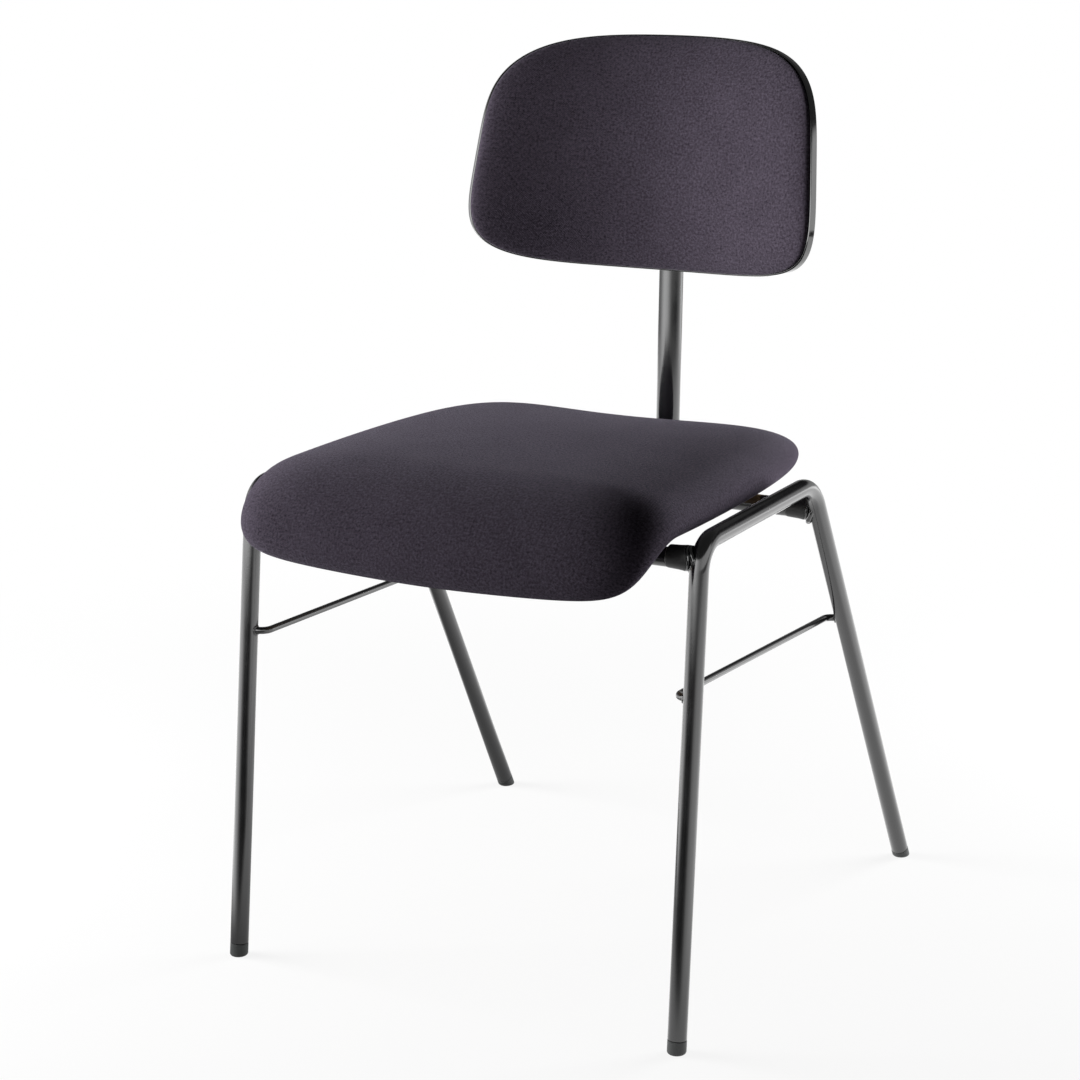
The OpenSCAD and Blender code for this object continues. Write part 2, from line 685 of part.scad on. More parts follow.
// Stands children on the shell's back, pointing away from it, at u and v
module on_back(u, v, off) {
    t = u / back_bend_r * radian;
    translate([0, -back_bend_r, v]) rotate([0, 0, -t])
        translate([0, back_bend_r - off, 0]) rotate([-90, 0, 0]) children();
}
module socket_holes(r) {
    deep = shell_t + flange_t + board_t + over;
    for (s = screw_places) on_back(s[0], s[1], board_t + over / 2) cylinder(r = r, h = deep);
}
module flange_outline() {
    x = flange_w / 2 - flange_corner_r;
    z = flange_h / 2 - flange_corner_r;
    deep = back_bend_r;
    translate([0, deep / 2, socket_v]) rotate([90, 0, 0]) linear_extrude(deep) {
        square([flange_w, 2 * z], center = true);
        square([2 * x, flange_h], center = true);
        for (i = [-1, 1]) for (j = [-1, 1]) translate([i * x, j * z]) circle(flange_corner_r);
    }
}
module post_rod(low, high, r) {
    rod(on_mid(post_end - post_line * low), on_mid(post_end + post_line * high), r);
}
// The barrel, and the rib that carries it, as thick as it needs to reach the flange
module socket_body() {
    deep = 3 * post_r;
    rib = barrel_r * rib_share;
    post_rod(socket_low, socket_top, barrel_r);
    translate(on_mid(post_end)) rotate([-post_lean, 0, 0])
        translate([-rib, -deep, lap - socket_low])
            cube([2 * rib, deep, socket_low + socket_top - 2 * lap]);
}
module back_socket() {
    tall = back_h * 2;
    color([0.1, 0.1, 0.11]) difference() {
        union() {
            lean_back() intersection() {
                translate([0, -back_bend_r, -tall / 2])
                    cylinder(r = back_bend_r + shell_t + flange_t, h = tall, $fn = 180);
                flange_outline();
            }
            socket_body();
        }
        lean_back() translate([0, -back_bend_r, -tall / 2 - over])
            cylinder(r = back_bend_r + shell_t, h = tall + 2 * over, $fn = 180);
        post_rod(socket_low + over, slide_gap, post_r + slide_gap);
        lock_way(lock_r + slide_gap);
        lean_back() socket_holes(screw_r + screw_gap);
    }
}
module socket_screws() {
    head_off = -shell_t - flange_t;
    color([0.12, 0.12, 0.13]) lean_back() for (s = screw_places) {
        on_back(s[0], s[1], head_off) cylinder(r = screw_head_r, h = screw_head_h);
        on_back(s[0], s[1], board_t - tee_t)
            cylinder(r = screw_r, h = board_t - tee_t - head_off + lap);
    }
}
module socket_tee_nuts() {
    barrel = board_t - tee_t;
    color([0.6, 0.61, 0.63]) lean_back() for (s = screw_places)
        on_back(s[0], s[1], pad_gap + board_t) difference() {
            union() {
                cylinder(r = tee_r, h = tee_t);
                cylinder(r = tee_barrel_r, h = barrel);
            }
            translate([0, 0, -over]) cylinder(r = screw_r + slide_gap, h = board_t + 2 * over);
        }
}

// One screw from behind holds the post in the socket
lock_r = 3;
lock_head_r = 5.5;
lock_head_h = 3;
lock_drop = 40;
lock_nut_r = 6;
lock_nut_t = 5;
lock_point = on_mid(post_end - post_line * lock_drop);
lock_axis = [0, post_line[1], -post_line[0]];
module lock_way(r) {
    rod(lock_point, lock_point + lock_axis * (barrel_r + over), r);
}
module post_lock_screw() {
    face = lock_point + lock_axis * barrel_r;
    color([0.12, 0.12, 0.13]) {
        rod(face, face + lock_axis * lock_head_h, lock_head_r);
        rod(lock_point + lock_axis * (post_r - post_wall - lock_nut_t),
            face + lock_axis * lap, lock_r);
    }
}
module post_lock_nut() {
    inner = post_r - post_wall - slide_gap;
    color([0.6, 0.61, 0.63]) difference() {
        intersection() {
            rod(lock_point + lock_axis * (inner - lock_nut_t), lock_point + lock_axis * post_r,
                lock_nut_r);
            post_rod(lock_drop + lock_nut_r * 2, 0, inner);
        }
        rod(lock_point, lock_point + lock_axis * (post_r + over), lock_r + slide_gap);
    }
}

place() side_frame(-1);  // left_side_frame
place() side_frame(1);  // right_side_frame
place() stacking_rod(-1);  // left_stacking_rod
place() stacking_rod(1);  // right_stacking_rod
place() foot(flip_x(front_foot, -1), flip_x(front_shoulder, -1));  // front_left_foot
place() foot(front_foot, front_shoulder);  // front_right_foot
place() foot(flip_x(rear_foot, -1), flip_x(rear_shoulder, -1));  // rear_left_foot
place() foot(rear_foot, rear_shoulder);  // rear_right_foot
place() crossbar(front_joint);  // front_crossbar
place() crossbar(rear_joint);  // rear_crossbar
place() boss(front_joint, -1);  // front_left_boss
place() boss(front_joint, 1);  // front_right_boss
place() boss(rear_joint, -1);  // rear_left_boss
place() boss(rear_joint, 1);  // rear_right_boss
place() sleeve(front_joint, -1);  // front_left_sleeve
place() sleeve(front_joint, 1);  // front_right_sleeve
place() sleeve(rear_joint, -1);  // rear_left_sleeve
place() sleeve(rear_joint, 1);  // rear_right_sleeve
place() back_post();
place() post_tail_plug();
place() saddles(front_joint);  // front_seat_saddles
place() saddles(rear_joint);  // rear_seat_saddles
place() seat_bolts();
place() seat_washers();
place() seat_tee_nuts();
place() seat_shell();
place() seat_cushion();
place() back_shell();
place() back_board();
place() back_cushion();
place() back_socket();
place() socket_screws();
place() socket_tee_nuts();
place() post_lock_screw();
place() post_lock_nut();
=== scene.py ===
"""Looks of the choir chair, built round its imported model.

Sizes are millimetres on the chair's plan: x = 0 is the mirror plane, y = 0 lies halfway
between the front and the rear feet, and z = 0 is the floor. place() turns them into
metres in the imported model's frame.
"""
import json

import bpy
import numpy as np
from mathutils import Matrix


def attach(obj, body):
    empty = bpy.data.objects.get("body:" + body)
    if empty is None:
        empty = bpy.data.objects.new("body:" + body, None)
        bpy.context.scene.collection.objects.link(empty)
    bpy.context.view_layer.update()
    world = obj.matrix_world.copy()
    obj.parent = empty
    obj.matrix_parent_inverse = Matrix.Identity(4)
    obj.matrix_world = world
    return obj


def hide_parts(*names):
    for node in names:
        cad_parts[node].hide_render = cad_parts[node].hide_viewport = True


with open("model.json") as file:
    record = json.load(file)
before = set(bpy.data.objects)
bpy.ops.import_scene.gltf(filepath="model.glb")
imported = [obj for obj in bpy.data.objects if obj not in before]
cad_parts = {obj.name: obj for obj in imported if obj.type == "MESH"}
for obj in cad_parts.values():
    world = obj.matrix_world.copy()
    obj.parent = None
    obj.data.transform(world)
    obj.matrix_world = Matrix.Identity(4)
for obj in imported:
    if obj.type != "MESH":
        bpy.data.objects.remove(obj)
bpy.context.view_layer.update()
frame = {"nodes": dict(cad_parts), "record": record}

MM = 0.001
SLACK = 2.0  # how much lower a cover starts than the solid pad
FILL, GLOSS_FILL = 0.01, 0.12  # strength of the surroundings, and of what gloss sees there
PAD_GAP, SLIDE_GAP = 0.3, 0.1  # between a pad and its shell, and round a sliding fit
RIGHT, BACK, UP = np.eye(3)
plan_shift = BACK * np.mean([mount["pos_m"][1] for mount in frame["record"]["mounts"]])


def place(points):
    """Plan millimetres, times a thousandth, plus the shift from the feet's middle."""
    return np.asarray(points, float) * MM + plan_shift


def new_object(name, data):
    """An object of the data in the scene's collection, at the origin and unturned."""
    made = bpy.data.objects.new(name, data)
    bpy.context.scene.collection.objects.link(made)
    return made


def photo_camera():
    """The photograph's camera, from its eye point and its own right, up and back."""
    data = bpy.data.cameras.new("photo_camera")
    data.lens, data.sensor_width = 88.03, 36.0
    camera = new_object("photo_camera", data)
    eye = place([1162.4, -2286.8, 1044.5])
    axes = np.array([[0.88334, 0.46873, 0], [-0.11624, 0.21905, 0.96877],
                     [0.45409, -0.85575, 0.24798]])
    pose = np.eye(4)
    pose[:3, :3], pose[:3, 3] = axes.T, eye
    camera.matrix_world = Matrix(pose.tolist())
    bpy.context.scene.camera = camera


photo_camera()

# Side frames, feet and stacking rods
LEG_R, LEG_WALL = 9, 2
FRONT_FOOT, REAR_FOOT = np.array([238.5, -281.5, 0]), np.array([244.5, 281.5, 0])
FRONT_CORNER, REAR_CORNER = np.array([235, -239, 466.3]), np.array([239.5, 5, 471.3])
FRONT_BEND_R, REAR_BEND_R = 28, 48
CAP_H, CAP_STEM, CAP_EDGE_R, SEAM_GAP = 13, 22, 2.5, 0.3
ROD_R, ROD_BEND_R, ROD_INSET = 3.5, 11, 17.6
ROD_FRONT_H, ROD_REAR_H = 327.5, 313.5

# Crossbars and what sits at their ends
BAR_R, BAR_WALL = 9, 2
FRONT_BAR, REAR_BAR = np.array([0, -238.606, 451]), np.array([0, 22.776, 441])
FRONT_SEAM_X, REAR_SEAM_X = 222.115, 226.821
FRONT_LEG_X, REAR_LEG_X = 235.115, 239.821
BOSS_R, BOSS_LAND, BOSS_REACH, BOSS_NECK_R = 11.75, 2, 4, 8.4
SPIGOT_LEN, SPIGOT_R, NECK_SHORT = 20, 6.8, 4
SLEEVE_LEN, SLEEVE_WALL, SEAM_DIP, END_RISE = 17, 1.4, 4.8, 1.2

# Seat
SEAT_H, PLY_T, SEAT_REAR_Y, SEAT_FLAT = 462, 10, 163.5, 397
PAD_UNDER, PAD_OVER, PAD_CROWN, SEAT_DISH = 17.3, 33, 9, 21
SEAT_R, NOSE_ANGLE = 74 + PAD_UNDER, np.radians(71)
SEAT_LEN = SEAT_FLAT + SEAT_R * NOSE_ANGLE
SEAT_REF_Z = SEAT_H + PAD_UNDER
SEAT_CENTRE = np.array([0, SEAT_LEN / 2])
SEAT_FRONT_W, SEAT_REAR_W, SEAT_BULGE, SEAT_BOW = 421, 381, 16, 11
SEAT_FRONT_POWER, SEAT_REAR_POWER = 12, 4.8
PAD_OVER_POWER, PAD_UNDER_POWER, SHELL_INSET = 6.2, 15, 36

# Backrest
BACK_W, BACK_H, BACK_CROWN, BACK_TAPER = 403.5, 224.5, 14.8, 0.068
BACK_R, BACK_TILT, BACK_MIDDLE = 300, np.radians(7.4), np.array([0, 181.928, 749.4])
BACK_TOP_POWER, BACK_LOW_POWER = 4, 4.75
SHELL_T, LIP_W, LIP_H = 5, 2.5, 1.5
BACK_EDGE, BACK_PAD, BACK_PAD_CROWN, BACK_PAD_POWER = 4, 15, 8, 4

# Covers: points round a ring, rings on top, frames of settling, and rounds of evening out
COVER_COLUMNS, SEAT_TOP_RINGS, BACK_TOP_RINGS = 200, 45, 41
CLOTH_FRAMES, EVENING_ROUNDS = 20, 40

# Post
POST_R, POST_WALL, POST_BEND_R = 12.5, 2, 58
POST_TOP = np.array([0, 199.293, 741])
POST_KNEE = np.array([0, 190.131, 412.982])
POST_TAIL = np.array([0, -259.417, 430.18])


def unit(v):
    """Each vector over its own length."""
    return v / np.linalg.norm(v, axis=-1, keepdims=True)


def mix(a, b, t):
    """a plus t times the step from a to b."""
    return a + (b - a) * t


def at_height(p, q, z):
    """The point of the line through p and q at height z."""
    return mix(p, q, (z - p[2]) / (q[2] - p[2]))


def full_turn(count):
    """That many angles, evenly round a circle."""
    return np.linspace(0, 2 * np.pi, count, endpoint=False)


def new_mesh(name, points, faces):
    """A mesh of plan points and of faces as rows of point numbers."""
    mesh = bpy.data.meshes.new(name)
    mesh.from_pydata(place(points).tolist(), [], faces)
    return mesh


def smooth_piece(name, mesh):
    """An object that shows the mesh with smooth faces and sharp edges from 38 degrees."""
    mesh.validate()
    mesh.polygons.foreach_set("use_smooth", np.ones(len(mesh.polygons), bool))
    mesh.set_sharp_from_angle(angle=np.radians(38))
    return new_object(name, mesh)


def skin(name, rings, uv=None):
    """Rings of equally many points, each joined to the next by quads, with a fan to
    the mean of the first and of the last ring to close the two ends."""
    rings = np.asarray(rings, float)
    count, sides = rings.shape[:2]
    points = np.vstack([rings.reshape(-1, 3), rings[0].mean(0), rings[-1].mean(0)])
    row, column = np.meshgrid(np.arange(count - 1) * sides, np.arange(sides), indexing="ij")
    following = row + (column + 1) % sides
    quads = np.stack([row + column, following, following + sides, row + column + sides], -1)
    j = np.arange(sides)
    end = (count - 1) * sides
    start_fan = np.stack([(j + 1) % sides, j, np.full(sides, end + sides)], -1)
    end_fan = np.stack([end + j, end + (j + 1) % sides, np.full(sides, end + sides + 1)], -1)
    mesh = new_mesh(name, points, quads.reshape(-1, 4).tolist() + start_fan.tolist()
                    + end_fan.tolist())
    if uv is not None:
        flat = np.vstack([uv.reshape(-1, 2), uv[0].mean(0), uv[-1].mean(0)]) * MM
        corners = np.zeros(len(mesh.loops), int)
        mesh.loops.foreach_get("vertex_index", corners)
        mesh.uv_layers.new(name="cloth_metres").data.foreach_set("uv", flat[corners].ravel())
    return smooth_piece(name, mesh)


def mirrored(rings, side):
    """On side 1 the rings as they are, on side -1 flipped in x and run the other way
    round, so that the faces still point outwards."""
    return rings if side > 0 else rings[:, ::-1] * [-1, 1, 1]


def mirrored_bead(curve, outward, side):
    """A bead's line and its outward directions, which have no x; on side -1 the line is
    flipped in x and both run backwards."""
    order = slice(None) if side > 0 else slice(None, None, -1)
    return (curve * [side, 1, 1])[order], outward[order]


def bent_line(corners, radii, steps=22):
    """A line through corners, each rounded by an arc: with d and e the directions before
    and after, the arc is start + r (sin t d + (1 - cos t) inward), t from 0 to the turn.
    Returns its points and its directions."""
    corners = np.asarray(corners, float)
    heading = unit(np.diff(corners, axis=0))
    points, directions = [corners[:1]], [heading[:1]]
    for i, r in enumerate(radii, start=1):
        d, e = heading[i - 1], heading[i]
        turn = np.arccos(d @ e)
        t = np.linspace(0, turn, steps)[:, None]
        inward = unit(e - d * (d @ e))
        start = corners[i] - d * r * np.tan(turn / 2)
        points.append(start + r * (np.sin(t) * d + (1 - np.cos(t)) * inward))
        directions.append(np.cos(t) * d + np.sin(t) * inward)
    return np.vstack(points + [corners[-1:]]), np.vstack(directions + [heading[-1:]])


def carried(points, directions, radii, across, sides=56):
    """A circle carried along a line: point + radius (cos a u + sin a v), where u is the
    across vector squared up to the direction and v stands on both."""
    u = unit(across - directions * (directions @ across)[:, None])
    v = np.cross(directions, u)
    a = full_turn(sides)[:, None]
    radii = np.broadcast_to(radii, len(points))[:, None, None]
    return points[:, None] + radii * (np.cos(a) * u[:, None] + np.sin(a) * v[:, None])


def open_tube(points, directions, r, wall, across, depth=14, edge=0.5):
    """A tube's outer skin whose ends turn in over a broken edge and run back down the
    bore: stations at the ends repeat with the radii of edge and bore."""
    steps = np.array([depth, 0, 0, edge])
    radii = np.array([r - wall, r - wall, r - edge, r])
    head = points[0] + steps[:, None] * directions[0]
    tail = points[-1] - steps[::-1, None] * directions[-1]
    line = np.vstack([head, points[1:-1], tail])
    heading = np.vstack([np.repeat(directions[:1], 4, 0), directions[1:-1],
                         np.repeat(directions[-1:], 4, 0)])
    r_line = np.concatenate([radii, np.full(len(points) - 2, r), radii[::-1]])
    return carried(line, heading, r_line, across)


def turned(profile, x, bar):
    """A profile of (distance, radius) turned round a bar's axis: x + distance along it,
    and the radius swung through a full turn."""
    distance, radius = np.asarray(profile, float).T
    points = bar + (x + distance)[:, None] * RIGHT
    return carried(points, np.repeat(RIGHT[None], len(points), 0), radius, BACK, sides=64)


def rounded(profile, r=0.5, steps=5):
    """A polyline whose inner corners are cut back by r and bridged by a parabola:
    (1-t)^2 before + 2t(1-t) corner + t^2 after."""
    profile = np.asarray(profile, float)
    t = np.linspace(0, 1, steps)[:, None]
    before = profile[1:-1] + unit(profile[:-2] - profile[1:-1]) * r
    after = profile[1:-1] + unit(profile[2:] - profile[1:-1]) * r
    arcs = ((1 - t) ** 2 * before[:, None] + 2 * t * (1 - t) * profile[1:-1, None]
            + t ** 2 * after[:, None])
    return np.vstack([profile[:1], arcs.reshape(-1, 2), profile[-1:]])


def bead(name, curve, outward, r, ripple=0.12):
    """A weld bead: a small circle carried round a closed curve, its radius rippling as
    r (1 + ripple sin n t) with one ripple every two and a half radii."""
    ahead = unit(np.roll(curve, -1, 0) - np.roll(curve, 1, 0))
    v = np.cross(ahead, outward)
    girth = np.linalg.norm(np.roll(curve, -1, 0) - curve, axis=1).sum()
    ripples = round(girth / (2.5 * r))
    radius = (r * (1 + ripple * np.sin(ripples * full_turn(len(curve)))))[:, None, None]
    a = full_turn(14)[:, None]
    ring = curve[:, None] + radius * (np.cos(a) * outward[:, None] + np.sin(a) * v[:, None])
    return closed_loop(name, ring)


def closed_loop(name, rings):
    """Rings joined in a full circle, with no ends."""
    count, sides = rings.shape[:2]
    row, column = np.meshgrid(np.arange(count), np.arange(sides), indexing="ij")
    ahead = (row + 1) % count
    following = (column + 1) % sides
    quads = np.stack([row * sides + column, row * sides + following,
                      ahead * sides + following, ahead * sides + column], -1)
    return smooth_piece(name, new_mesh(name, rings.reshape(-1, 3),
                                       quads.reshape(-1, 4).tolist()))


# The frame's tubes
def side_frame_rings():
    """The leg tube carried from above the front cap over the two bends to the rear cap."""
    path = [FRONT_FOOT + unit(FRONT_CORNER - FRONT_FOOT) * CAP_H, FRONT_CORNER, REAR_CORNER,
            REAR_FOOT + unit(REAR_CORNER - REAR_FOOT) * CAP_H]
    points, directions = bent_line(path, [FRONT_BEND_R, REAR_BEND_R])
    return open_tube(points, directions, LEG_R, LEG_WALL, RIGHT)


def foot_rings(floor_point, corner, broken=0.35):
    """A cap as wide as the tube: a stem in the bore, a broken upper edge, then lines along
    the leg, cut by level planes z = r (1 - sin t) and drawn in by r (1 - cos t), so that
    the floor edge is round."""
    up = unit(corner - floor_point)
    seam = floor_point + up * (CAP_H - SEAM_GAP)
    line = seam + up * np.array([CAP_STEM, 0, 0, -broken])[:, None]
    stem_r = LEG_R - LEG_WALL - SLIDE_GAP
    top = carried(line, np.repeat(-up[None], 4, 0), [stem_r, stem_r, LEG_R - broken, LEG_R],
                  RIGHT)
    t = np.linspace(0, np.pi / 2, 9)
    heights = np.concatenate([[CAP_EDGE_R * 1.4], CAP_EDGE_R * (1 - np.sin(t))])
    drawn_in = np.concatenate([[0], CAP_EDGE_R * (1 - np.cos(t))])
    surface = top[-1]
    cut = surface + up * ((heights[:, None] - surface[:, 2]) / up[2])[:, :, None]
    middle = floor_point + up * (heights / up[2])[:, None]
    spoke = cut - middle[:, None]
    length = np.linalg.norm(spoke, axis=2, keepdims=True)
    low = middle[:, None] + spoke * (1 - drawn_in[:, None, None] / length)
    sole = mix(low[-1], low[-1].mean(0), np.array([0.3, 0.7, 0.95])[:, None, None])
    return np.concatenate([top, low, sole])


def rod_rings():
    """The stacking rod: out of the front leg, round a short bend, back along the frame
    and round another bend into the rear leg."""
    front = at_height(FRONT_FOOT, FRONT_CORNER, ROD_FRONT_H)
    rear = at_height(REAR_FOOT, REAR_CORNER, ROD_REAR_H)
    inset = RIGHT * ROD_INSET
    points, directions = bent_line([front, front - inset, rear - inset, rear],
                                   [ROD_BEND_R, ROD_BEND_R], steps=14)
    return carried(points, directions, ROD_R, UP, sides=28)


def rod_bead_curve(foot, corner, height, side, r):
    """Where a rod of radius r along x meets the leg: round the rod, y and z go by the
    cosine and sine, and x is the leg's surface there, leg axis less sqrt(R^2 - d^2)."""
    up = unit(corner - foot)
    joint = at_height(foot, corner, height)
    t = full_turn(72)[:, None]
    outward = np.cos(t) * BACK + np.sin(t) * UP
    off = outward * r
    level = off - up * (off @ up)[:, None]
    d2 = (level ** 2).sum(1) - level[:, 0] ** 2
    reach = np.sqrt(np.maximum(LEG_R ** 2 - d2, 0))
    return mirrored_bead(joint + off - RIGHT * reach[:, None], outward, side)


def post_rings():
    """The post from its top down, round the knee and forward under both bars."""
    points, directions = bent_line([POST_TOP, POST_KNEE, POST_TAIL], [POST_BEND_R], steps=40)
    return open_tube(points, directions, POST_R, POST_WALL, RIGHT)


# Seat outline and cushion
def round_square(a, low_power, high_power):
    """Superellipse of angle a: (cos a, sin a) over the n-th root of |cos a|^n + |sin a|^n,
    with its own n for the lower and the upper half."""
    n = np.where(np.sin(a) > 0, high_power, low_power)
    q = (np.abs(np.cos(a)) ** n + np.abs(np.sin(a)) ** n) ** (-1 / n)
    return np.stack([np.cos(a) * q, np.sin(a) * q], -1)


def fall(share, power):
    """sqrt(1 - share^power): level in the middle and upright at the edge."""
    return np.sqrt(np.maximum(1 - share ** power, 0))


def seat_point(x, s, off):
    """s runs along the reference surface from the rear edge, level and then round the
    nose's arc; off stands on it."""
    turn = np.clip((s - SEAT_FLAT) / SEAT_R, 0, NOSE_ANGLE)
    return np.stack([x + 0 * s, SEAT_REAR_Y - np.minimum(s, SEAT_FLAT)
                     - (SEAT_R + off) * np.sin(turn),
                     SEAT_REF_Z - SEAT_R + (SEAT_R + off) * np.cos(turn)], -1)


def seat_edge(a):
    """The outline: a superellipse along s, its half width growing to the front and
    bulging as 4f(1-f), its front edge bowed back at the corners."""
    e = round_square(a, SEAT_REAR_POWER, SEAT_FRONT_POWER)
    s = SEAT_LEN / 2 * (1 + e[:, 1]) - SEAT_BOW * e[:, 0] ** 2 * np.maximum(e[:, 1], 0)
    f = np.clip(s / SEAT_LEN, 0, 1)
    half = mix(SEAT_REAR_W, SEAT_FRONT_W, f) / 2 + SEAT_BULGE * 4 * f * (1 - f)
    return np.stack([e[:, 0] * half, s], -1), e[:, 0]


def seat_rings(shares):
    """The cushion: rings at shares of the outline, negative ones on the underside. Above,
    pad over x fall + crown (1 - share^2), less the hollow of the rear half, dish
    (1 - across^2) (1 - 2 s / length)^2; below, pad under x fall."""
    edge, across = seat_edge(full_turn(COVER_COLUMNS))
    share = np.abs(shares)[:, None]
    flat = SEAT_CENTRE + share[..., None] * (edge - SEAT_CENTRE)
    s = flat[..., 1]
    top = ((PAD_OVER - SLACK) * fall(share, PAD_OVER_POWER) + PAD_CROWN * (1 - share ** 2)
           - SEAT_DISH * (1 - (share * across) ** 2) * np.maximum(1 - 2 * s / SEAT_LEN, 0) ** 2)
    low = -PAD_UNDER * fall(share, PAD_UNDER_POWER)
    return seat_point(flat[..., 0], s, np.where(shares[:, None] < 0, low, top)), flat


def shell_edge(a, inset):
    """The outline drawn in towards its middle by a fixed length along each ray."""
    ray = seat_edge(a)[0] - SEAT_CENTRE
    length = np.linalg.norm(ray, axis=1, keepdims=True)
    return SEAT_CENTRE + ray * (1 - inset / length)


def arc_uv(rings, flat):
    """Cloth coordinates: from the middle outwards, the length already walked over the
    surface, in the direction that the ray has on the plan."""
    step = np.linalg.norm(np.diff(rings, axis=0), axis=2)
    middle = flat[0].mean(0)
    ray = flat - middle
    start = np.linalg.norm(ray[:1], axis=2)
    walked = np.vstack([start, start + np.cumsum(step, axis=0)])
    heading = unit(flat[len(flat) // 3] - middle)
    return middle + heading[None] * walked[..., None]


def top_shares(rings):
    """Shares of the outline from the middle out, sin(t pi / 2)^0.9, closer near the edge."""
    return np.sin(np.linspace(0, 1, rings + 1)[1:] * np.pi / 2) ** 0.9


def seat_cushion_rings():
    """Top from the middle to the widest line, underside back to the shell, the cloth's
    hem turned up into the pocket, and the pocket's ceiling over the shell."""
    under = -(1 - np.array([0.0008, 0.003, 0.007, 0.013, 0.022, 0.035, 0.05, 0.07, 0.1]))
    rings, flat = seat_rings(np.concatenate([top_shares(SEAT_TOP_RINGS), under]))
    a = full_turn(COVER_COLUMNS)
    hem_flat = np.stack([shell_edge(a, SHELL_INSET - w) for w in (1.8, 0.9, 0.4, PAD_GAP)])
    ceiling = np.array([1, 0.9, 0.7, 0.45, 0.2, 0.03])[:, None, None]
    hem_flat = np.concatenate([hem_flat, SEAT_CENTRE + ceiling * (hem_flat[-1] - SEAT_CENTRE)])
    hem_off = -PAD_UNDER + np.concatenate([[0, 0.35, 1.2, 4.0], np.full(6, PLY_T + PAD_GAP)])
    hem = seat_point(hem_flat[..., 0], hem_flat[..., 1], hem_off[:, None])
    rings, flat = np.concatenate([rings, hem]), np.concatenate([flat, hem_flat])
    return rings, arc_uv(rings, flat)


def seat_shell_rings():
    """The moulded ply under the cushion: its upper face from the middle to the edge, a
    broken edge, and the lower face back to the middle."""
    edge = shell_edge(full_turn(240), SHELL_INSET)
    inner = np.array([0.03, 0.3, 0.55, 0.75, 0.88, 0.95, 0.985])
    shares = np.concatenate([inner, [0.995, 1, 1, 0.995], inner[::-1]])
    top, low = PLY_T - PAD_UNDER, -PAD_UNDER
    off = np.concatenate([np.full(7, top), [top, top - 1.2, low + 1.2, low], np.full(7, low)])
    flat = SEAT_CENTRE + shares[:, None, None] * (edge - SEAT_CENTRE)
    return seat_point(flat[..., 0], flat[..., 1], off[:, None])


def stretched(cover, free_rings, cap):
    """The cover as cloth drawn over foam: its first rings settle between the foam's
    pressure and the cloth's own pull, and the rest are held. The foam evens out each
    point's step with its four neighbours', round after round, and a step of d becomes
    d cap / (cap + d)."""
    smooth = cover.modifiers.new("smooth", "SUBSURF")
    smooth.levels = smooth.render_levels = 1
    smooth.show_viewport = False
    mesh = cover.data
    start = np.empty(len(mesh.vertices) * 3)
    mesh.vertices.foreach_get("co", start)
    start = start.reshape(-1, 3)
    group = cover.vertex_groups.new(name="held")
    free = free_rings * COVER_COLUMNS
    start_tip, end_tip = len(start) - 2, len(start) - 1
    group.add([*range(free, start_tip), end_tip], 1.0, "REPLACE")
    cloth = cover.modifiers.new("cloth", "CLOTH")
    cloth.settings.vertex_group_mass = "held"
    cloth.settings.quality = 4
    cloth.settings.mass = 0.25
    cloth.settings.tension_stiffness = cloth.settings.compression_stiffness = 25
    cloth.settings.use_pressure = True
    cloth.settings.uniform_pressure_force = 4
    cloth.settings.effector_weights.gravity = 0
    cloth.collision_settings.use_collision = False
    scene = bpy.context.scene
    for frame_number in range(1, CLOTH_FRAMES + 1):
        scene.frame_set(frame_number)
    settled = cover.evaluated_get(bpy.context.evaluated_depsgraph_get()).data
    end = np.empty(start.size)
    settled.vertices.foreach_get("co", end)
    step = end.reshape(-1, 3) - start
    grid = step[:free].reshape(free_rings, COVER_COLUMNS, 3).copy()
    for _ in range(EVENING_ROUNDS):
        beside = (np.roll(grid, 1, 1) + np.roll(grid, -1, 1)) / 2
        inside = np.concatenate([grid[:1].mean(1, keepdims=True) + 0 * grid[:1], grid[:-1]])
        outside = np.concatenate([grid[1:], np.zeros_like(grid[:1])])
        grid = (2 * grid + 2 * beside + inside + outside) / 6
    step[:] = 0
    step[:free] = grid.reshape(-1, 3)
    step[start_tip] = grid[0].mean(0)
    length = np.linalg.norm(step, axis=1, keepdims=True)
    step *= cap / (cap + length)
    cover.modifiers.remove(cloth)
    cover.vertex_groups.remove(group)
    mesh.vertices.foreach_set("co", (start + step).ravel())
    mesh.update()
    scene.frame_set(1)
    smooth.show_viewport = True


# Backrest
def back_edge(a, inset):
    """The backrest's outline: a superellipse, narrowing upwards by the taper, its top
    edge raised as crown (1 - x^2), drawn in by inset."""
    e = round_square(a, BACK_LOW_POWER, BACK_TOP_POWER)
    w = BACK_W / 2 * (1 - BACK_TAPER * e[:, 1]) - inset
    crown = np.where(e[:, 1] > 0, BACK_CROWN / (BACK_H / 2) * (1 - e[:, 0] ** 2), 0)
    return np.stack([w * e[:, 0], (BACK_H / 2 * (1 + crown) - inset) * e[:, 1]], -1)


def back_point(u, v, off):
    """u along the shell's curve, v up it, off towards the sitter; then tilted back."""
    t = u / BACK_R
    y, z = (BACK_R - off) * np.cos(t) - BACK_R, v + 0 * u
    c, s = np.cos(BACK_TILT), np.sin(BACK_TILT)
    return BACK_MIDDLE + np.stack([(BACK_R - off) * np.sin(t) + 0 * v,
                                   y * c + z * s, z * c - y * s], -1)


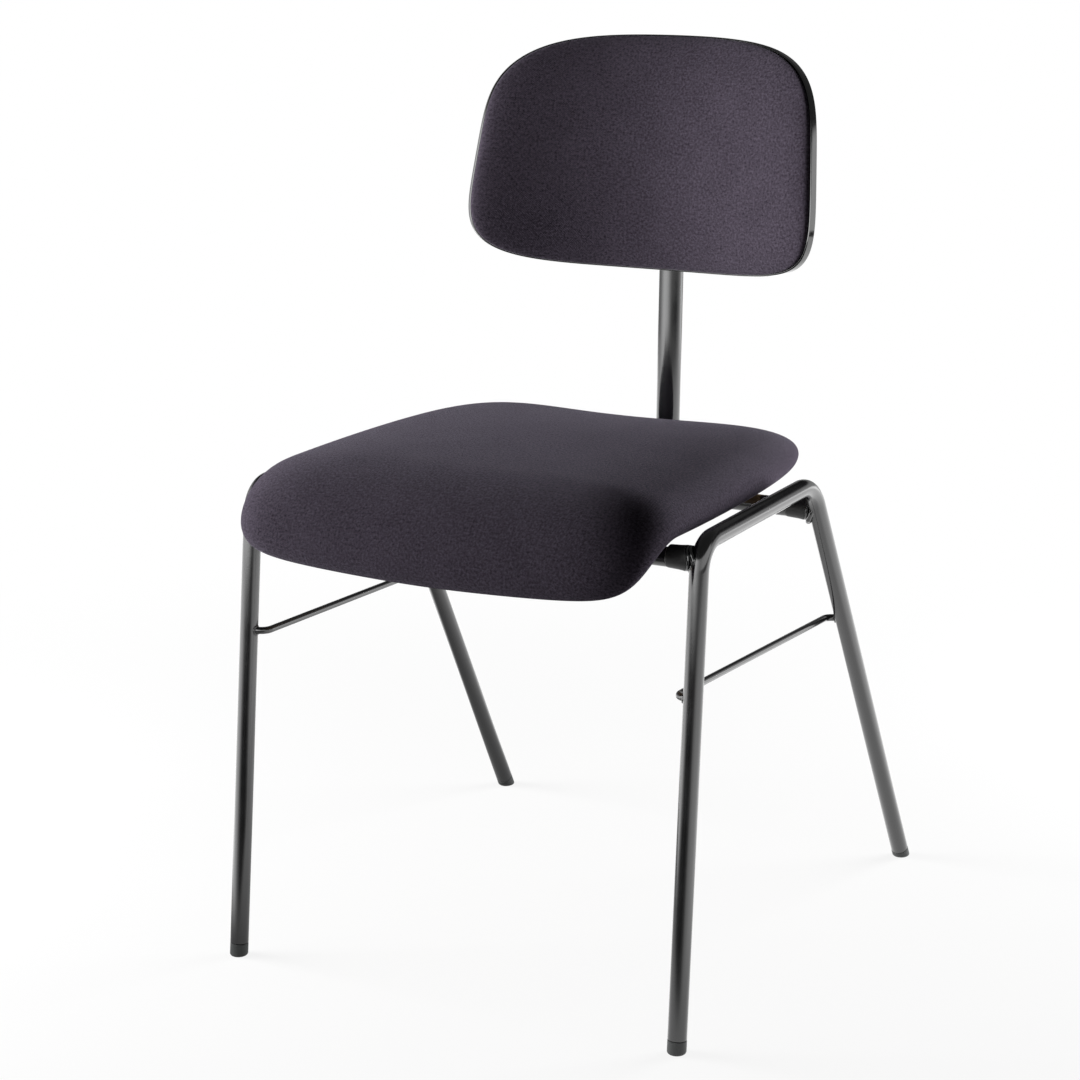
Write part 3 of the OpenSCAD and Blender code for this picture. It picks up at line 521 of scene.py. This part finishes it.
def back_shell_rings():
    """The shell: its hollow face up to the lip, over the lip's round, round the outer
    edge and over the back."""
    a = full_turn(320)
    inner = np.array([0.03, 0.25, 0.5, 0.7, 0.85, 0.94])
    profile = rounded([(3.2, 0), (LIP_W, 0), (LIP_W, LIP_H), (0.9, LIP_H), (0, LIP_H - 0.9),
                       (0, -SHELL_T), (4, -SHELL_T)], r=0.45, steps=6)
    offs = np.concatenate([np.zeros(6), profile[:, 1], np.full(6, -SHELL_T)])
    middle = inner[:, None, None] * back_edge(a, 3.2)
    flat = np.concatenate([middle, [back_edge(a, inset) for inset in profile[:, 0]],
                           middle[::-1]])
    return back_point(flat[..., 0], flat[..., 1], offs[:, None])[:, ::-1]


def back_cushion_rings():
    """The back cushion: edge + pad x fall + crown (1 - share^2) over the hollow face. It
    swells half over the lip, tucks in behind it and lies flat on the shell."""
    a = full_turn(COVER_COLUMNS)
    share = top_shares(BACK_TOP_RINGS)
    top = (BACK_EDGE + (BACK_PAD - SLACK) * fall(share, BACK_PAD_POWER)
           + BACK_PAD_CROWN * (1 - share ** 2))
    tuck = np.array([(1.25, 2.9), (1.5, 2.1), (2.1, 1.75), (2.9, 1.5), (3.1, 0.9),
                     (3.3, PAD_GAP)])
    inner = np.array([0.97, 0.9, 0.75, 0.5, 0.25, 0.03])[:, None, None]
    flat = np.concatenate([share[:, None, None] * back_edge(a, 1.2),
                           [back_edge(a, inset) for inset in tuck[:, 0]],
                           inner * back_edge(a, 3.3)])
    off = np.concatenate([top, tuck[:, 1], np.full(6, PAD_GAP)])
    rings = back_point(flat[..., 0], flat[..., 1], off[:, None])
    return rings[:, ::-1], arc_uv(rings, flat)[:, ::-1]


# Finishes
def new_finish(name, **values):
    """A Principled material with its even values on the shader's own sockets."""
    material = bpy.data.materials.new(name)
    material.use_nodes = True
    shader = material.node_tree.nodes["Principled BSDF"]
    for socket, value in values.items():
        shader.inputs[socket.replace("_", " ")].default_value = value
    return material, material.node_tree, shader


def add(tree, kind, settings=(), **inputs):
    """A shader node; an input that is given a socket is linked to it, others are set."""
    made = tree.nodes.new("ShaderNode" + kind)
    for key, value in dict(settings).items():
        setattr(made, key, value)
    for key, value in inputs.items():
        socket = made.inputs[int(key[1:]) if key[1:].isdigit() else key.replace("_", " ")]
        if isinstance(value, bpy.types.NodeSocket):
            tree.links.new(value, socket)
        else:
            socket.default_value = value
    return made


def maths(tree, operation, first, second=0.0, third=0.0):
    """The result of one sum or product."""
    return add(tree, "Math", {"operation": operation}, i0=first, i1=second, i2=third).outputs[0]


def noise(tree, spot, scale, detail=2.0, rough=0.5):
    """A noise of that many grains a metre."""
    return add(tree, "TexNoise", Vector=spot, Scale=scale, Detail=detail,
               Roughness=rough).outputs[0]


def stretched_spot(tree, spot, scale):
    """The spot times a scale of its own along each axis."""
    return add(tree, "Mapping", Vector=spot, Scale=scale).outputs[0]


def spread(tree, value, low, high, start=0.35, end=0.65):
    """The value from start to end, mapped to low to high."""
    return add(tree, "MapRange", i0=value, i1=start, i2=end, i3=low, i4=high).outputs[0]


def between(tree, share, first, second):
    """The colour that lies that share of the way from the first to the second."""
    return add(tree, "Mix", {"data_type": "RGBA"}, i0=share, i6=first, i7=second).outputs[2]


def bumped(tree, shader, height, strength, distance):
    """The height as a bump on the shader."""
    bump = add(tree, "Bump", Height=height, Strength=strength, Distance=distance)
    tree.links.new(bump.outputs[0], shader.inputs["Normal"])


def powder_coat(name, dark, light, low_rough, high_rough, coat):
    """Powder coat: an orange peel about a millimetre wide, and clouds of gloss and tone
    a few centimetres wide."""
    material, tree, shader = new_finish(name, Specular_IOR_Level=0.65, Coat_Weight=coat,
                                        Coat_Roughness=0.12)
    spot = add(tree, "TexCoord").outputs["Object"]
    cloud = noise(tree, spot, 35, 3)
    tree.links.new(between(tree, spread(tree, cloud, 0, 1), dark, light),
                   shader.inputs["Base Color"])
    tree.links.new(spread(tree, cloud, low_rough, high_rough), shader.inputs["Roughness"])
    bumped(tree, shader, noise(tree, spot, 850, 1), 0.12, 0.0002)
    return material


def moulded_plastic(name, dark, light, roughness):
    """Moulded plastic: a fine spark-eroded grain of a third of a millimetre."""
    material, tree, shader = new_finish(name, Specular_IOR_Level=0.45)
    spot = add(tree, "TexCoord").outputs["Object"]
    grain = noise(tree, spot, 3200, 2)
    cloud = noise(tree, spot, 60, 2)
    tree.links.new(between(tree, spread(tree, cloud, 0, 1), dark, light),
                   shader.inputs["Base Color"])
    tree.links.new(spread(tree, grain, roughness - 0.06, roughness + 0.06),
                   shader.inputs["Roughness"])
    bumped(tree, shader, grain, 0.25, 0.0001)
    return material


def glossy_shell(name):
    """Glossy moulded plastic: smooth, with a soft waviness of a few centimetres and
    specks of duller gloss about a millimetre and a half wide."""
    material, tree, shader = new_finish(name, Specular_IOR_Level=0.7, Coat_Weight=1.0,
                                        Coat_Roughness=0.05)
    spot = add(tree, "TexCoord").outputs["Object"]
    wave = noise(tree, spot, 22, 1)
    speck = noise(tree, spot, 700, 3)
    tree.links.new(between(tree, spread(tree, wave, 0, 1), (0.004, 0.004, 0.005, 1),
                           (0.008, 0.008, 0.009, 1)), shader.inputs["Base Color"])
    tree.links.new(spread(tree, speck, 0.1, 0.2), shader.inputs["Roughness"])
    bumped(tree, shader, wave, 0.15, 0.001)
    return material


def woven_cloth(name, dark, light):
    """Fine wool-like cloth: threads cross over and under, a crepe of two and a half
    millimetres breaks them up, flecks lie along the weft, and the nap's tone drifts over
    centimetres."""
    thread_gap = 0.0009
    material, tree, shader = new_finish(name, Roughness=0.9, Specular_IOR_Level=0.0,
                                        Sheen_Weight=0.2, Sheen_Roughness=0.45,
                                        Sheen_Tint=(0.82, 0.76, 0.92, 1))
    metres = add(tree, "UVMap", {"uv_map": "cloth_metres"}).outputs[0]
    split = add(tree, "SeparateXYZ", Vector=metres)
    waves = [maths(tree, "SINE", maths(tree, "MULTIPLY", split.outputs[axis],
                                       np.pi / thread_gap)) for axis in (0, 1)]
    cross = maths(tree, "MULTIPLY", *waves)
    crepe = noise(tree, metres, 400, 3, 0.72)
    nap = noise(tree, metres, 26, 3)
    fleck = noise(tree, stretched_spot(tree, metres, (180, 700, 1)), 1, 2)
    relief = maths(tree, "MULTIPLY_ADD", cross, 0.25, crepe)
    mottle = maths(tree, "MULTIPLY_ADD", fleck, 0.25, crepe)
    tone = maths(tree, "MULTIPLY_ADD", nap, 0.12, mottle)
    tree.links.new(between(tree, spread(tree, tone, 0, 1, 0.49, 0.85), dark, light),
                   shader.inputs["Base Color"])
    bumped(tree, shader, relief, 0.7, 0.0009)
    return material


def beech_ply(name):
    """Bare beech ply: grain stretched along y, flecks, and thin plies at the edge."""
    material, tree, shader = new_finish(name, Specular_IOR_Level=0.35)
    spot = add(tree, "TexCoord").outputs["Object"]
    grain = noise(tree, stretched_spot(tree, spot, (60, 6, 700)), 1.0, 4, 0.6)
    flecks = noise(tree, stretched_spot(tree, spot, (900, 120, 900)), 1.0)
    tone = maths(tree, "MULTIPLY_ADD", flecks, 0.3, grain)
    tree.links.new(between(tree, spread(tree, tone, 0, 1, 0.4, 0.9), (0.36, 0.21, 0.1, 1),
                           (0.56, 0.38, 0.22, 1)), shader.inputs["Base Color"])
    tree.links.new(spread(tree, grain, 0.5, 0.65), shader.inputs["Roughness"])
    bumped(tree, shader, tone, 0.2, 0.0003)
    return material


def plated_steel(name, colour, roughness):
    """Zinc plate or black oxide: metal with a cloudy bloom."""
    material, tree, shader = new_finish(name, Metallic=1.0)
    spot = add(tree, "TexCoord").outputs["Object"]
    bloom = noise(tree, spot, 420, 3)
    darker = (*[c * 0.7 for c in colour], 1)
    tree.links.new(between(tree, spread(tree, bloom, 0, 1), darker, (*colour, 1)),
                   shader.inputs["Base Color"])
    tree.links.new(spread(tree, bloom, roughness - 0.07, roughness + 0.1),
                   shader.inputs["Roughness"])
    bumped(tree, shader, bloom, 0.1, 0.0001)
    return material


frame_coat = powder_coat("frame_coat", (0.006, 0.006, 0.007, 1), (0.010, 0.010, 0.011, 1),
                         0.13, 0.19, coat=0.4)
cap_plastic = moulded_plastic("cap_plastic", (0.024, 0.026, 0.026, 1), (0.032, 0.034, 0.034, 1),
                              0.5)
sleeve_plastic = moulded_plastic("sleeve_plastic", (0.006, 0.006, 0.006, 1),
                                 (0.009, 0.009, 0.009, 1), 0.42)
shell_gloss = glossy_shell("shell_gloss")
seat_cloth = woven_cloth("seat_cloth", (0.020, 0.016, 0.022, 1), (0.090, 0.075, 0.101, 1))
# The back's cloth is the seat's cloth with every colour about 1.36 times lighter: painted light
# on the backrest, the same cloth made to look more lit.
back_cloth_painted_lighter = woven_cloth("back_cloth_painted_lighter", (0.028, 0.022, 0.031, 1), (0.122, 0.102, 0.136, 1))
ply = beech_ply("beech_ply")
zinc = plated_steel("zinc_plate", (0.62, 0.63, 0.66), 0.32)
black_oxide = plated_steel("black_oxide", (0.03, 0.03, 0.032), 0.38)


def dress(piece, material, slot, *nodes):
    """Gives a piece its material, its body and the nodes it replaces; its slot is not used."""
    piece.data.materials.clear()
    piece.data.materials.append(material)
    if nodes:
        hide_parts(*nodes)
    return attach(piece, "root")


def drawn_round_leg(rings, bar, dip):
    """Rings moved towards the leg by dip (y / R)^2, so that the seam goes round the tube.
    Their outer points go up as well, by the rise that the fittings have over the bar."""
    off = (rings[..., 1] - bar[1]) / BOSS_R
    outer = np.linalg.norm(rings[..., 1:] - bar[1:], axis=2) > BAR_R + 2 * SLIDE_GAP
    return (rings + (dip[:, None] * off ** 2)[..., None] * RIGHT
            + (outer * END_RISE)[..., None] * UP)


def boss_rings(seam_x, bar, leg_x, side):
    """The welded boss: a spigot in the bar's bore, a disc of the sleeve's width at the
    seam, tapering to a neck that runs into the leg."""
    profile = rounded([(-SPIGOT_LEN, SPIGOT_R), (0, SPIGOT_R), (0, BOSS_R), (BOSS_LAND, BOSS_R),
                       (BOSS_REACH, BOSS_R - 2), (BOSS_REACH + 1, BOSS_NECK_R),
                       (leg_x - seam_x - NECK_SHORT, BOSS_NECK_R)], r=0.4)
    dip = SEAM_DIP * np.clip(1 - (profile[:, 0] - BOSS_REACH) / 4, 0, 1) * (profile[:, 0] > -0.5)
    return mirrored(drawn_round_leg(turned(profile, seam_x, bar), bar, dip), side)


def sleeve_rings(seam_x, bar, side):
    """The flared sleeve: a chamfered thin end, and a wall that swells to the boss."""
    inner, thin = BAR_R + SLIDE_GAP, BAR_R + SLIDE_GAP + SLEEVE_WALL
    profile = rounded([(0.5, inner), (0, inner), (0, thin - 0.9), (0.9, thin),
                       (SLEEVE_LEN * 2 / 3, mix(thin, BOSS_R, 0.45)), (SLEEVE_LEN, BOSS_R),
                       (SLEEVE_LEN, inner), (SLEEVE_LEN - 0.5, inner)], r=0.22)
    dip = SEAM_DIP * (profile[:, 0] / SLEEVE_LEN) ** 2
    start = seam_x - SEAM_GAP - SLEEVE_LEN
    return mirrored(drawn_round_leg(turned(profile, start, bar), bar, dip), side)


def boss_bead_curve(bar, leg_x, reach, side):
    """Round the boss on the leg's flank: y = (R - 0.4) cos t, z = reach sin t, and x is
    the tube's surface there, leg axis less sqrt(R^2 - y^2)."""
    t = full_turn(96)[:, None]
    outward = np.cos(t) * BACK + np.sin(t) * UP
    off = np.cos(t) * BACK * (LEG_R - 0.4) + np.sin(t) * UP * reach
    flank = np.sqrt(LEG_R ** 2 - off[:, 1:2] ** 2)
    middle = bar + leg_x * RIGHT + END_RISE / 2 * UP
    return mirrored_bead(middle + off - RIGHT * flank, outward, side)


for side, word in ((-1, "left"), (1, "right")):
    dress(skin(f"{word}_frame_tube", mirrored(side_frame_rings(), side)), frame_coat,
          "frame_black", f"{word}_side_frame")
    dress(skin(f"{word}_rod", mirrored(rod_rings(), side)), frame_coat, "rod_black",
          f"{word}_stacking_rod")
    for end, foot, corner, height in (("front", FRONT_FOOT, FRONT_CORNER, ROD_FRONT_H),
                                      ("rear", REAR_FOOT, REAR_CORNER, ROD_REAR_H)):
        dress(skin(f"{end}_{word}_cap", mirrored(foot_rings(foot, corner), side)), cap_plastic,
              "foot_grey", f"{end}_{word}_foot")
        curve, outward = rod_bead_curve(foot, corner, height, side, ROD_R + 0.5)
        dress(bead(f"{end}_{word}_rod_weld", curve, outward, 1.2), frame_coat, "rod_black")
    for end, seam_x, bar, leg_x, reach, r in (
            ("front", FRONT_SEAM_X, FRONT_BAR, FRONT_LEG_X, 10.4, 2.1),
            ("rear", REAR_SEAM_X, REAR_BAR, REAR_LEG_X, 12.0, 2.8)):
        dress(skin(f"{end}_{word}_boss_turning", boss_rings(seam_x, bar, leg_x, side)),
              frame_coat, "boss_black", f"{end}_{word}_boss")
        dress(skin(f"{end}_{word}_flared_sleeve", sleeve_rings(seam_x, bar, side)),
              sleeve_plastic, "sleeve_black", f"{end}_{word}_sleeve")
        curve, outward = boss_bead_curve(bar, leg_x, reach, side)
        dress(bead(f"{end}_{word}_boss_weld", curve, outward, r, 0.07), frame_coat, "boss_black")

for end, seam_x, bar in (("front", FRONT_SEAM_X, FRONT_BAR), ("rear", REAR_SEAM_X, REAR_BAR)):
    half = seam_x - SEAM_GAP
    ends = np.array([bar - RIGHT * half, bar + RIGHT * half])
    dress(skin(f"{end}_bar_tube", open_tube(ends, np.repeat(RIGHT[None], 2, 0), BAR_R, BAR_WALL,
                                            BACK)), frame_coat, "bar_black", f"{end}_crossbar")

dress(skin("post_tube", post_rings()), frame_coat, "post_black", "back_post")
dress(skin("seat_ply", seat_shell_rings()[:, ::-1]), ply, "plywood", "seat_shell")
dress(skin("backrest_shell", back_shell_rings()), shell_gloss, "shell_gloss", "back_shell")

cushion_rings, cushion_uv = seat_cushion_rings()
seat_cover = skin("seat_cover", cushion_rings[:, ::-1], cushion_uv[:, ::-1])
dress(seat_cover, seat_cloth, "seat_fabric", "seat_cushion")
back_rings, back_uv = back_cushion_rings()
back_cover = skin("back_cover", back_rings, back_uv)
dress(back_cover, back_cloth_painted_lighter, "back_fabric", "back_cushion")
stretched(seat_cover, SEAT_TOP_RINGS + 3, cap=3.5 * MM)
stretched(back_cover, BACK_TOP_RINGS, cap=3.0 * MM)

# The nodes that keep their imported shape
for material, nodes in (
        (sleeve_plastic, ("front_seat_saddles", "rear_seat_saddles")),
        (cap_plastic, ("post_tail_plug",)),
        (ply, ("back_board",)),
        (frame_coat, ("back_socket",)),
        (black_oxide, ("socket_screws", "post_lock_screw")),
        (zinc, ("seat_bolts", "seat_washers", "seat_tee_nuts", "socket_tee_nuts",
                "post_lock_nut"))):
    for node in nodes:
        mesh = frame["nodes"][node].data
        mesh.materials.clear()
        mesh.materials.append(material)


# Studio
def ray_share(tree, ray):
    """One for rays of this kind, and zero for the others."""
    return add(tree, "LightPath").outputs[ray]


def shone(tree, glow):
    """The glow as what the stage piece's material gives out."""
    tree.links.new(glow.outputs[0], tree.nodes["Material Output"].inputs["Surface"])


def eased(tree, value, start, end, low, high):
    """The value eased from low at start to high at end."""
    return add(tree, "MapRange", {"interpolation_type": "SMOOTHSTEP"}, i0=value, i1=start,
               i2=end, i3=low, i4=high).outputs[0]


def round_the_room(tree, split, stops):
    """A level that follows the bearing from the chair's front, arctan(x / -y), from -180
    to 180 degrees with right as positive, through stops of (degrees, level)."""
    bearing = maths(tree, "ARCTAN2", split[0], maths(tree, "MULTIPLY", split[1], -1.0))
    node = add(tree, "ValToRGB", Fac=spread(tree, bearing, 0, 1, -np.pi, np.pi))
    first, last = node.color_ramp.elements[:]
    first.color, last.color = ((*[stops[i][1] / RAMP_TOP] * 3, 1) for i in (0, -1))
    for degrees, level in stops[1:-1]:
        stop = node.color_ramp.elements.new(0.5 + degrees / 360)
        stop.color = (*[level / RAMP_TOP] * 3, 1)
    return maths(tree, "MULTIPLY", node.outputs[0], RAMP_TOP)


# What gloss sees round the chair: low down, from a foot up, and above the seat
RAMP_TOP = 5  # the brightest level that a ramp of stops can hold
SCREEN_R, SCREEN_H, SCREEN_SIDES, FLOOR_REACH = 1600, 1400, 96, 4000
LOW_ROOM = [(-180, 1.4), (-130, 2.0), (-95, 2.2), (-65, 2.9), (-45, 2.7), (-30, 1.0),
            (-15, 0.15), (20, 0.1), (35, 0.35), (50, 1.4), (70, 2.0), (120, 2.0), (155, 1.7),
            (180, 1.2)]
HIGH_ROOM = [(-180, 0.3), (-115, 0.4), (-89, 1.1), (-74, 2.3), (-50, 4.4), (-30, 4.9),
             (-6, 4.2), (13, 2.6), (32, 1.05), (50, 0.4), (75, 0.12), (90, 0.15), (114, 0.9),
             (140, 2.6), (156, 2.9), (168, 0.9), (180, 0.3)]
TOP_ROOM = HIGH_ROOM[:8] + [(32, 1.6), (60, 2.2), (100, 2.2), (125, 1.2), (180, 0.3)]


def white_surroundings():
    """White where the background shows, and dim elsewhere."""
    world = bpy.data.worlds.new("studio")
    bpy.context.scene.world = world
    world.use_nodes = True
    tree = world.node_tree
    fill, gloss, shown = (add(tree, "Background", Color=(1, 1, 1, 1), Strength=strength)
                          for strength in (FILL, GLOSS_FILL, 1.0))
    glossed = add(tree, "MixShader", i0=ray_share(tree, "Is Glossy Ray"), i1=fill.outputs[0],
                  i2=gloss.outputs[0])
    joined = add(tree, "MixShader", i0=ray_share(tree, "Is Camera Ray"),
                 i1=glossed.outputs[0], i2=shown.outputs[0])
    tree.links.new(joined.outputs[0], tree.nodes["World Output"].inputs["Surface"])


def staged(name, corners, faces):
    """A stage piece of its own material, and that material's nodes."""
    piece = new_object(name, new_mesh(name, corners, faces))
    material = bpy.data.materials.new(name)
    material.use_nodes = True
    piece.data.materials.append(material)
    return piece, material.node_tree


def glossy_screen():
    """A round screen that gloss alone sees: a wide bright band on the left that comes
    round the front from a foot up, a low one on the right, and a dark top but for the
    front."""
    a = np.linspace(0, 2 * np.pi, SCREEN_SIDES + 1)
    ring = SCREEN_R * np.stack([np.sin(a), np.cos(a), 0 * a], -1)
    i = np.arange(SCREEN_SIDES)
    faces = np.stack([i, i + 1, i + SCREEN_SIDES + 2, i + SCREEN_SIDES + 1], -1)
    screen, tree = staged("glossy_screen", np.vstack([ring, ring + UP * SCREEN_H]),
                          faces.tolist())
    screen.visible_camera = screen.visible_diffuse = screen.visible_shadow = False
    split = add(tree, "SeparateXYZ", Vector=add(tree, "TexCoord").outputs["Object"]).outputs
    upper = add(tree, "Mix", i0=eased(tree, split[2], 0.47, 0.55, 0, 1),
                i2=round_the_room(tree, split, HIGH_ROOM),
                i3=round_the_room(tree, split, TOP_ROOM)).outputs[0]
    ahead = maths(tree, "MULTIPLY", eased(tree, split[1], 0.3, 0.5, 1, 0),
                  eased(tree, split[2], 1.2, 1.4, 1, 0))
    fade = maths(tree, "MAXIMUM", ahead, eased(tree, split[2], 0.8, 1.1, 1, 0.04))
    high = maths(tree, "MULTIPLY", upper, fade)
    level = add(tree, "Mix", i0=eased(tree, split[2], 0.24, 0.34, 0, 1), i3=high,
                i2=round_the_room(tree, split, LOW_ROOM)).outputs[0]
    shone(tree, add(tree, "Emission", Color=(1, 1, 1, 1), Strength=level))


def pale_floor():
    """A pale sheet under the chair. Near the chair some of the white that shows is the
    lit paper, so that the shadow still falls on it, and none of it a metre and a half out,
    so that the sheet meets the background. Gloss sees it dim under the chair, and further
    out as bright as the screen's foot."""
    corners = FLOOR_REACH * np.array([[-1, -1, 0], [1, -1, 0], [1, 1, 0], [-1, 1, 0]])
    _, tree = staged("studio_floor", corners, [(0, 1, 2, 3)])
    spot = add(tree, "TexCoord").outputs["Object"]
    out = add(tree, "VectorMath", {"operation": "LENGTH"}, i0=spot).outputs["Value"]
    split = add(tree, "SeparateXYZ", Vector=spot).outputs
    tone = between(tree, ray_share(tree, "Is Diffuse Ray"), (0.8, 0.8, 0.8, 1),
                   (0.25, 0.25, 0.25, 1))
    paper = add(tree, "BsdfDiffuse", Color=tone)
    level = add(tree, "Mix", i0=eased(tree, out, 0.4, 0.65, 0, 1),
                i2=eased(tree, split[0], -0.4, 0.2, 0.4, 1.3),
                i3=round_the_room(tree, split, LOW_ROOM)).outputs[0]
    white, glossed = (add(tree, "Emission", Color=(1, 1, 1, 1), Strength=strength)
                      for strength in (1.0, level))
    shown = add(tree, "MixShader", i0=eased(tree, out, 0.5, 1.5, 0.86, 1.0),
                i1=paper.outputs[0], i2=white.outputs[0])
    bounced = add(tree, "MixShader", i0=ray_share(tree, "Is Glossy Ray"),
                  i1=paper.outputs[0], i2=glossed.outputs[0])
    shone(tree, add(tree, "MixShader", i0=ray_share(tree, "Is Camera Ray"),
                    i1=bounced.outputs[0], i2=shown.outputs[0]))


def softbox(name, middle, target, width, height, power):
    """A rectangular lamp at middle that faces target. Gloss shows the room's own bands of
    light in its place."""
    data = bpy.data.lights.new(name, "AREA")
    data.shape, data.size, data.size_y, data.energy = "RECTANGLE", width, height, power
    lamp = new_object(name, data)
    back = unit(np.array(middle, float) - target)
    right = unit(np.cross(UP, back))
    pose = np.eye(4)
    pose[:3, :3] = np.stack([right, np.cross(back, right), back], 1)
    pose[:3, 3] = middle
    lamp.matrix_world = Matrix(pose.tolist())
    lamp.visible_camera = lamp.visible_glossy = False


white_surroundings()
glossy_screen()
pale_floor()
softbox("left_softbox", (-1.75, -0.6, 0.8), (0, 0, 0.6), 1.0, 0.45, 44)
softbox("left_front_softbox", (-1.6, -0.9, 0.65), (0, 0, 0.6), 1.5, 1.1, 20)
softbox("right_softbox", (1.2, 1.5, 0.42), (0, 0, 0.5), 1.2, 0.65, 76)
softbox("low_front_softbox", (0.6, -0.95, 0.12), (0.1, -0.25, 0.42), 0.5, 0.3, 1.0)

bpy.context.scene.view_settings.view_transform = "Standard"
